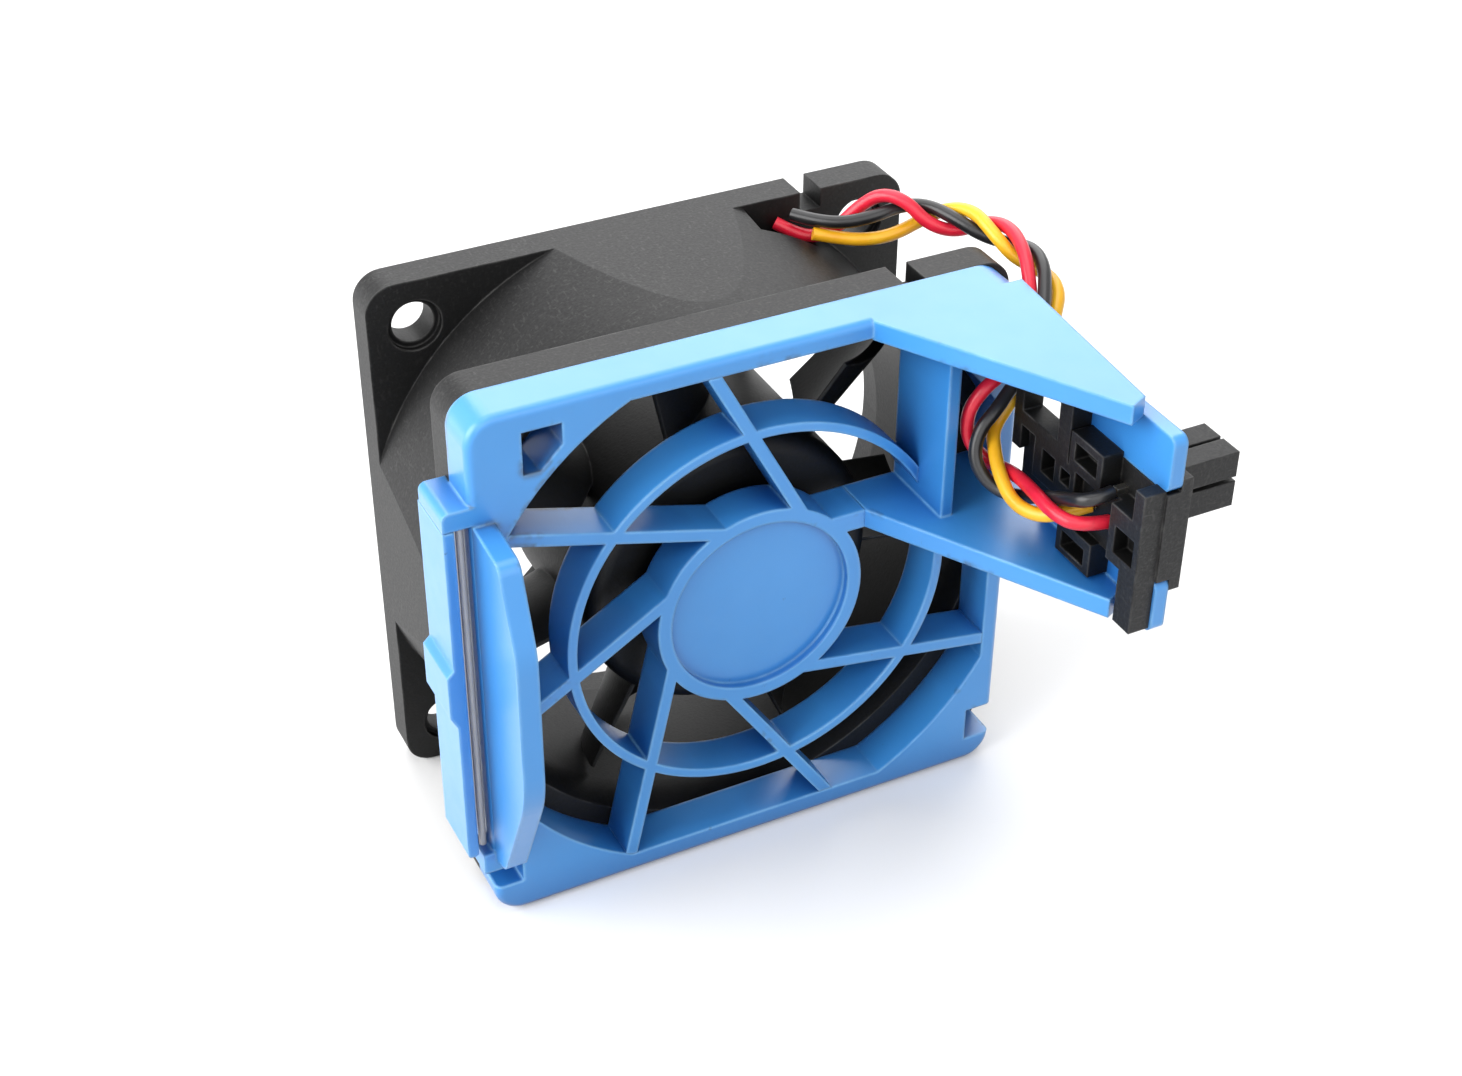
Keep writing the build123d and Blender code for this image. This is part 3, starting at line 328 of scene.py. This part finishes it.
FINISH = {
    "carrier": BLUE, "finger_guard": BLUE, "latch_arm": BLUE, "latch_spring": WIRE,
    "fan_housing": FAN_BLACK, "impeller": FAN_BLACK,
    "connector_holder": PLUG_BLACK, "connector_plug": PLUG_BLACK,
    "rotor_yoke": STEEL, "shaft": STEEL, "retaining_clip": STEEL, "rear_bearing": STEEL,
    "front_bearing": STEEL, "preload_spring": WIRE, "rotor_magnet": MAGNET,
    "stator_core": LAMINATED, "front_insulator": NATURAL, "rear_insulator": NATURAL,
    "windings": COPPER, "circuit_board": BOARD, "hall_sensor": CHIP, "driver_chip": CHIP,
    "contacts": TINNED, "lead_red": RED, "lead_black": BLACK, "lead_yellow": YELLOW,
}
for name, material in FINISH.items():
    mesh = nodes[name].data
    mesh.materials.clear()
    mesh.materials.append(material)

# Leads: each is a cord along its route.

LEAD_R = 0.7
# The points of the part's source, in mm, most of them worked out by a separate script from picks by eye.
ROUTES = {
    "lead_red": [
        (14.6, -4.3, 27.5), (16.3, -5.8, 26.5), (18.4, -6.9, 26.2), (20.5, -7.5, 27.3),
        (22.3, -8.3, 29.5), (23.9, -10.0, 31.4), (25.6, -12.1, 31.2), (27.1, -14.3, 29.1),
        (30.1, -15.1, 27.9), (32.5, -16.7, 29.4), (33.3, -20.1, 30.2), (32.4, -24.2, 29.6),
        (31.3, -27.0, 28.1), (30.5, -28.9, 26.4), (28.8, -31.3, 25.3), (26.6, -33.2, 24.1),
        (24.0, -34.4, 23.1), (21.7, -34.7, 22.1), (20.2, -34.4, 19.7), (20.4, -34.5, 16.4),
        (21.9, -36.3, 14.4), (22.6, -39.6, 15.1), (21.6, -44.5, 16.2), (21.2, -48.8, 16.2),
        (22.5, -51.3, 16.0), (25.6, -51.5, 15.75),
    ],
    "lead_black": [
        (16.0, -5.5, 28.7), (17.6, -7.7, 28.6), (20.0, -9.8, 28.8), (22.7, -11.1, 29.6),
        (25.9, -10.7, 29.9), (28.2, -12.3, 30.2), (29.6, -15.7, 29.8), (31.2, -18.0, 28.7),
        (33.4, -19.9, 28.1), (34.3, -23.0, 28.9), (33.5, -26.3, 28.6), (31.9, -29.0, 27.6),
        (30.3, -31.4, 26.3), (28.9, -33.2, 25.1), (27.0, -34.4, 23.2), (24.5, -35.0, 21.3),
        (22.6, -35.8, 20.0), (20.6, -36.0, 18.3), (19.7, -36.9, 15.7), (20.6, -38.6, 13.6),
        (22.0, -40.8, 13.1), (23.1, -44.7, 15.1), (22.5, -48.9, 17.6), (23.1, -51.7, 18.9),
        (25.6, -51.5, 19.05),
    ],
    "lead_yellow": [
        (17.1, -8.0, 27.4), (19.4, -9.1, 26.9), (21.8, -10.8, 26.9), (24.7, -11.6, 27.2),
        (27.7, -11.7, 28.2), (30.1, -12.8, 29.6), (31.3, -16.2, 30.7), (31.3, -20.2, 29.8),
        (32.4, -22.2, 28.0), (33.9, -23.7, 27.2), (34.4, -26.4, 27.2), (33.8, -28.8, 26.8),
        (32.4, -30.5, 25.8), (31.0, -31.8, 24.4), (29.0, -33.3, 22.9), (26.6, -34.3, 21.3),
        (24.5, -34.8, 19.3), (22.8, -35.2, 17.4), (21.8, -37.3, 16.4), (20.8, -40.0, 15.4),
        (20.4, -43.2, 14.2), (21.4, -46.3, 14.3), (23.1, -47.8, 15.2), (25.6, -48.5, 15.75),
    ],
}

for name, route in ROUTES.items():
    curve = bpy.data.curves.new(name + "_run", "CURVE")
    curve.dimensions = "3D"
    curve.bevel_depth = LEAD_R * MM
    curve.bevel_resolution = 5
    curve.resolution_u = 10
    curve.use_fill_caps = True
    spline = curve.splines.new("NURBS")
    spline.points.add(len(route) - 1)
    for point, place in zip(spline.points, route):
        point.co = (*(c * MM for c in place), 1.0)
    spline.order_u = 3
    spline.use_endpoint_u = True
    curve.materials.append(FINISH[name])
    lead = bpy.data.objects.new(name + "_run", curve)
    scene.collection.objects.link(lead)
    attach(lead, "housing")
    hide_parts(name)

# Stage: a floor and a room that show as white but add little light of their own. Lengths are in metres.

FLOOR_HALF = 3.0
FLOOR_GAP = 0.0002
FLOOR_ROUGH = 0.9
FLOOR_SEEN = (0.95, 0.95, 0.95)
FLOOR_LIT = (0.35, 0.35, 0.35)
GLOW_START = 0.20
GLOW_FULL = 0.50
ROOM_LIGHT = 0.22
WHITE = (1.0, 1.0, 1.0)


def seen_directly(tree):
    """1 for rays that show the backdrop, from the camera or by way of gloss or glass, and 0 for the rest."""
    path = tree.nodes.new("ShaderNodeLightPath")
    polished = combine(tree, "MAXIMUM", path.outputs["Is Glossy Ray"], path.outputs["Is Transmission Ray"])
    return combine(tree, "MAXIMUM", path.outputs["Is Camera Ray"], polished)


floor_mesh = bpy.data.meshes.new("floor")
signs = ((-1, -1), (1, -1), (1, 1), (-1, 1))
corners = [(x * FLOOR_HALF, y * FLOOR_HALF, 0.0) for x, y in signs]
floor_mesh.from_pydata(corners, [], [(0, 1, 2, 3)])
floor = bpy.data.objects.new("floor", floor_mesh)
floor.location.z = cad_box[0][2] - FLOOR_GAP
scene.collection.objects.link(floor)
pale = Tree("floor_white", FLOOR_ROUGH)
seen = seen_directly(pale)
pale.links.new(blend(pale, seen, opaque(FLOOR_LIT), opaque(FLOOR_SEEN)), pale.shader.inputs["Base Color"])
# Far from the part, where the lamps fade, the floor shows as white by itself.
reach = pale.nodes.new("ShaderNodeVectorMath")
reach.operation = "LENGTH"
pale.links.new(pale.nodes.new("ShaderNodeNewGeometry").outputs["Position"], reach.inputs[0])
far = pale.grey(reach.outputs["Value"], low=0.0, high=1.0, start=GLOW_START, end=GLOW_FULL)
pale.links.new(pale.product(far, seen), pale.shader.inputs["Emission Strength"])
pale.shader.inputs["Emission Color"].default_value = opaque(WHITE)
floor_mesh.materials.append(pale.material)

world = bpy.data.worlds.new("studio")
world.use_nodes = True
scene.world = world
room = world.node_tree
backdrop = room.nodes["Background"]
backdrop.inputs["Color"].default_value = opaque(WHITE)
room.links.new(combine(room, "MAXIMUM", seen_directly(room), ROOM_LIGHT), backdrop.inputs["Strength"])

# Lamps: places and sizes in metres, power in watts. All are aimed at one spot in the part.

AIM = Vector((0.0, -0.02, 0.0))
LAMPS = {
    "left": {"place": (-0.90, 0.05, 0.45), "size": (1.2, 0.8), "power": 16.0},
    "front": {"place": (-0.10, -0.85, 0.55), "size": (1.3, 0.9), "power": 6.0},
    "top": {"place": (0.0, 0.10, 1.0), "size": (0.8, 0.8), "power": 4.5},
    "behind": {"place": (0.35, 0.70, 0.58), "size": (1.0, 0.7), "power": 6.0},
}
for name, lamp in LAMPS.items():
    data = bpy.data.lights.new(name, "AREA")
    data.shape = "RECTANGLE"
    data.size, data.size_y = lamp["size"]
    data.energy = lamp["power"]
    light = bpy.data.objects.new(name, data)
    light.location = lamp["place"]
    light.rotation_euler = (AIM - Vector(lamp["place"])).to_track_quat("-Z", "Y").to_euler()
    scene.collection.objects.link(light)

# Camera: solved from the photograph, with the principal point at the middle of the frame. Angles in radians.

CAMERA_AT = Vector((-86.33, -194.34, 139.55)) * MM
AZIMUTH = 0.468
ELEVATION = 0.616
ROLL = 0.006
FOCAL_PX = 2309.708
WIDTH_PX = 1462
SENSOR_MM = 36.0
NEAREST = 0.01
ahead = Vector((
    math.sin(AZIMUTH) * math.cos(ELEVATION),
    math.cos(AZIMUTH) * math.cos(ELEVATION),
    -math.sin(ELEVATION),
))
level = Vector((math.cos(AZIMUTH), -math.sin(AZIMUTH), 0.0))
upright = level.cross(ahead)
right = math.cos(ROLL) * level + math.sin(ROLL) * upright
up = math.cos(ROLL) * upright - math.sin(ROLL) * level
lens = bpy.data.cameras.new("camera")
lens.sensor_fit = "HORIZONTAL"
lens.sensor_width = SENSOR_MM
lens.lens = SENSOR_MM * FOCAL_PX / WIDTH_PX
lens.clip_start = NEAREST
camera = bpy.data.objects.new("camera", lens)
facing = Matrix((right, up, -ahead)).transposed().to_4x4()
camera.matrix_world = Matrix.Translation(CAMERA_AT) @ facing
scene.collection.objects.link(camera)
scene.camera = camera
scene.view_settings.view_transform = "Standard"
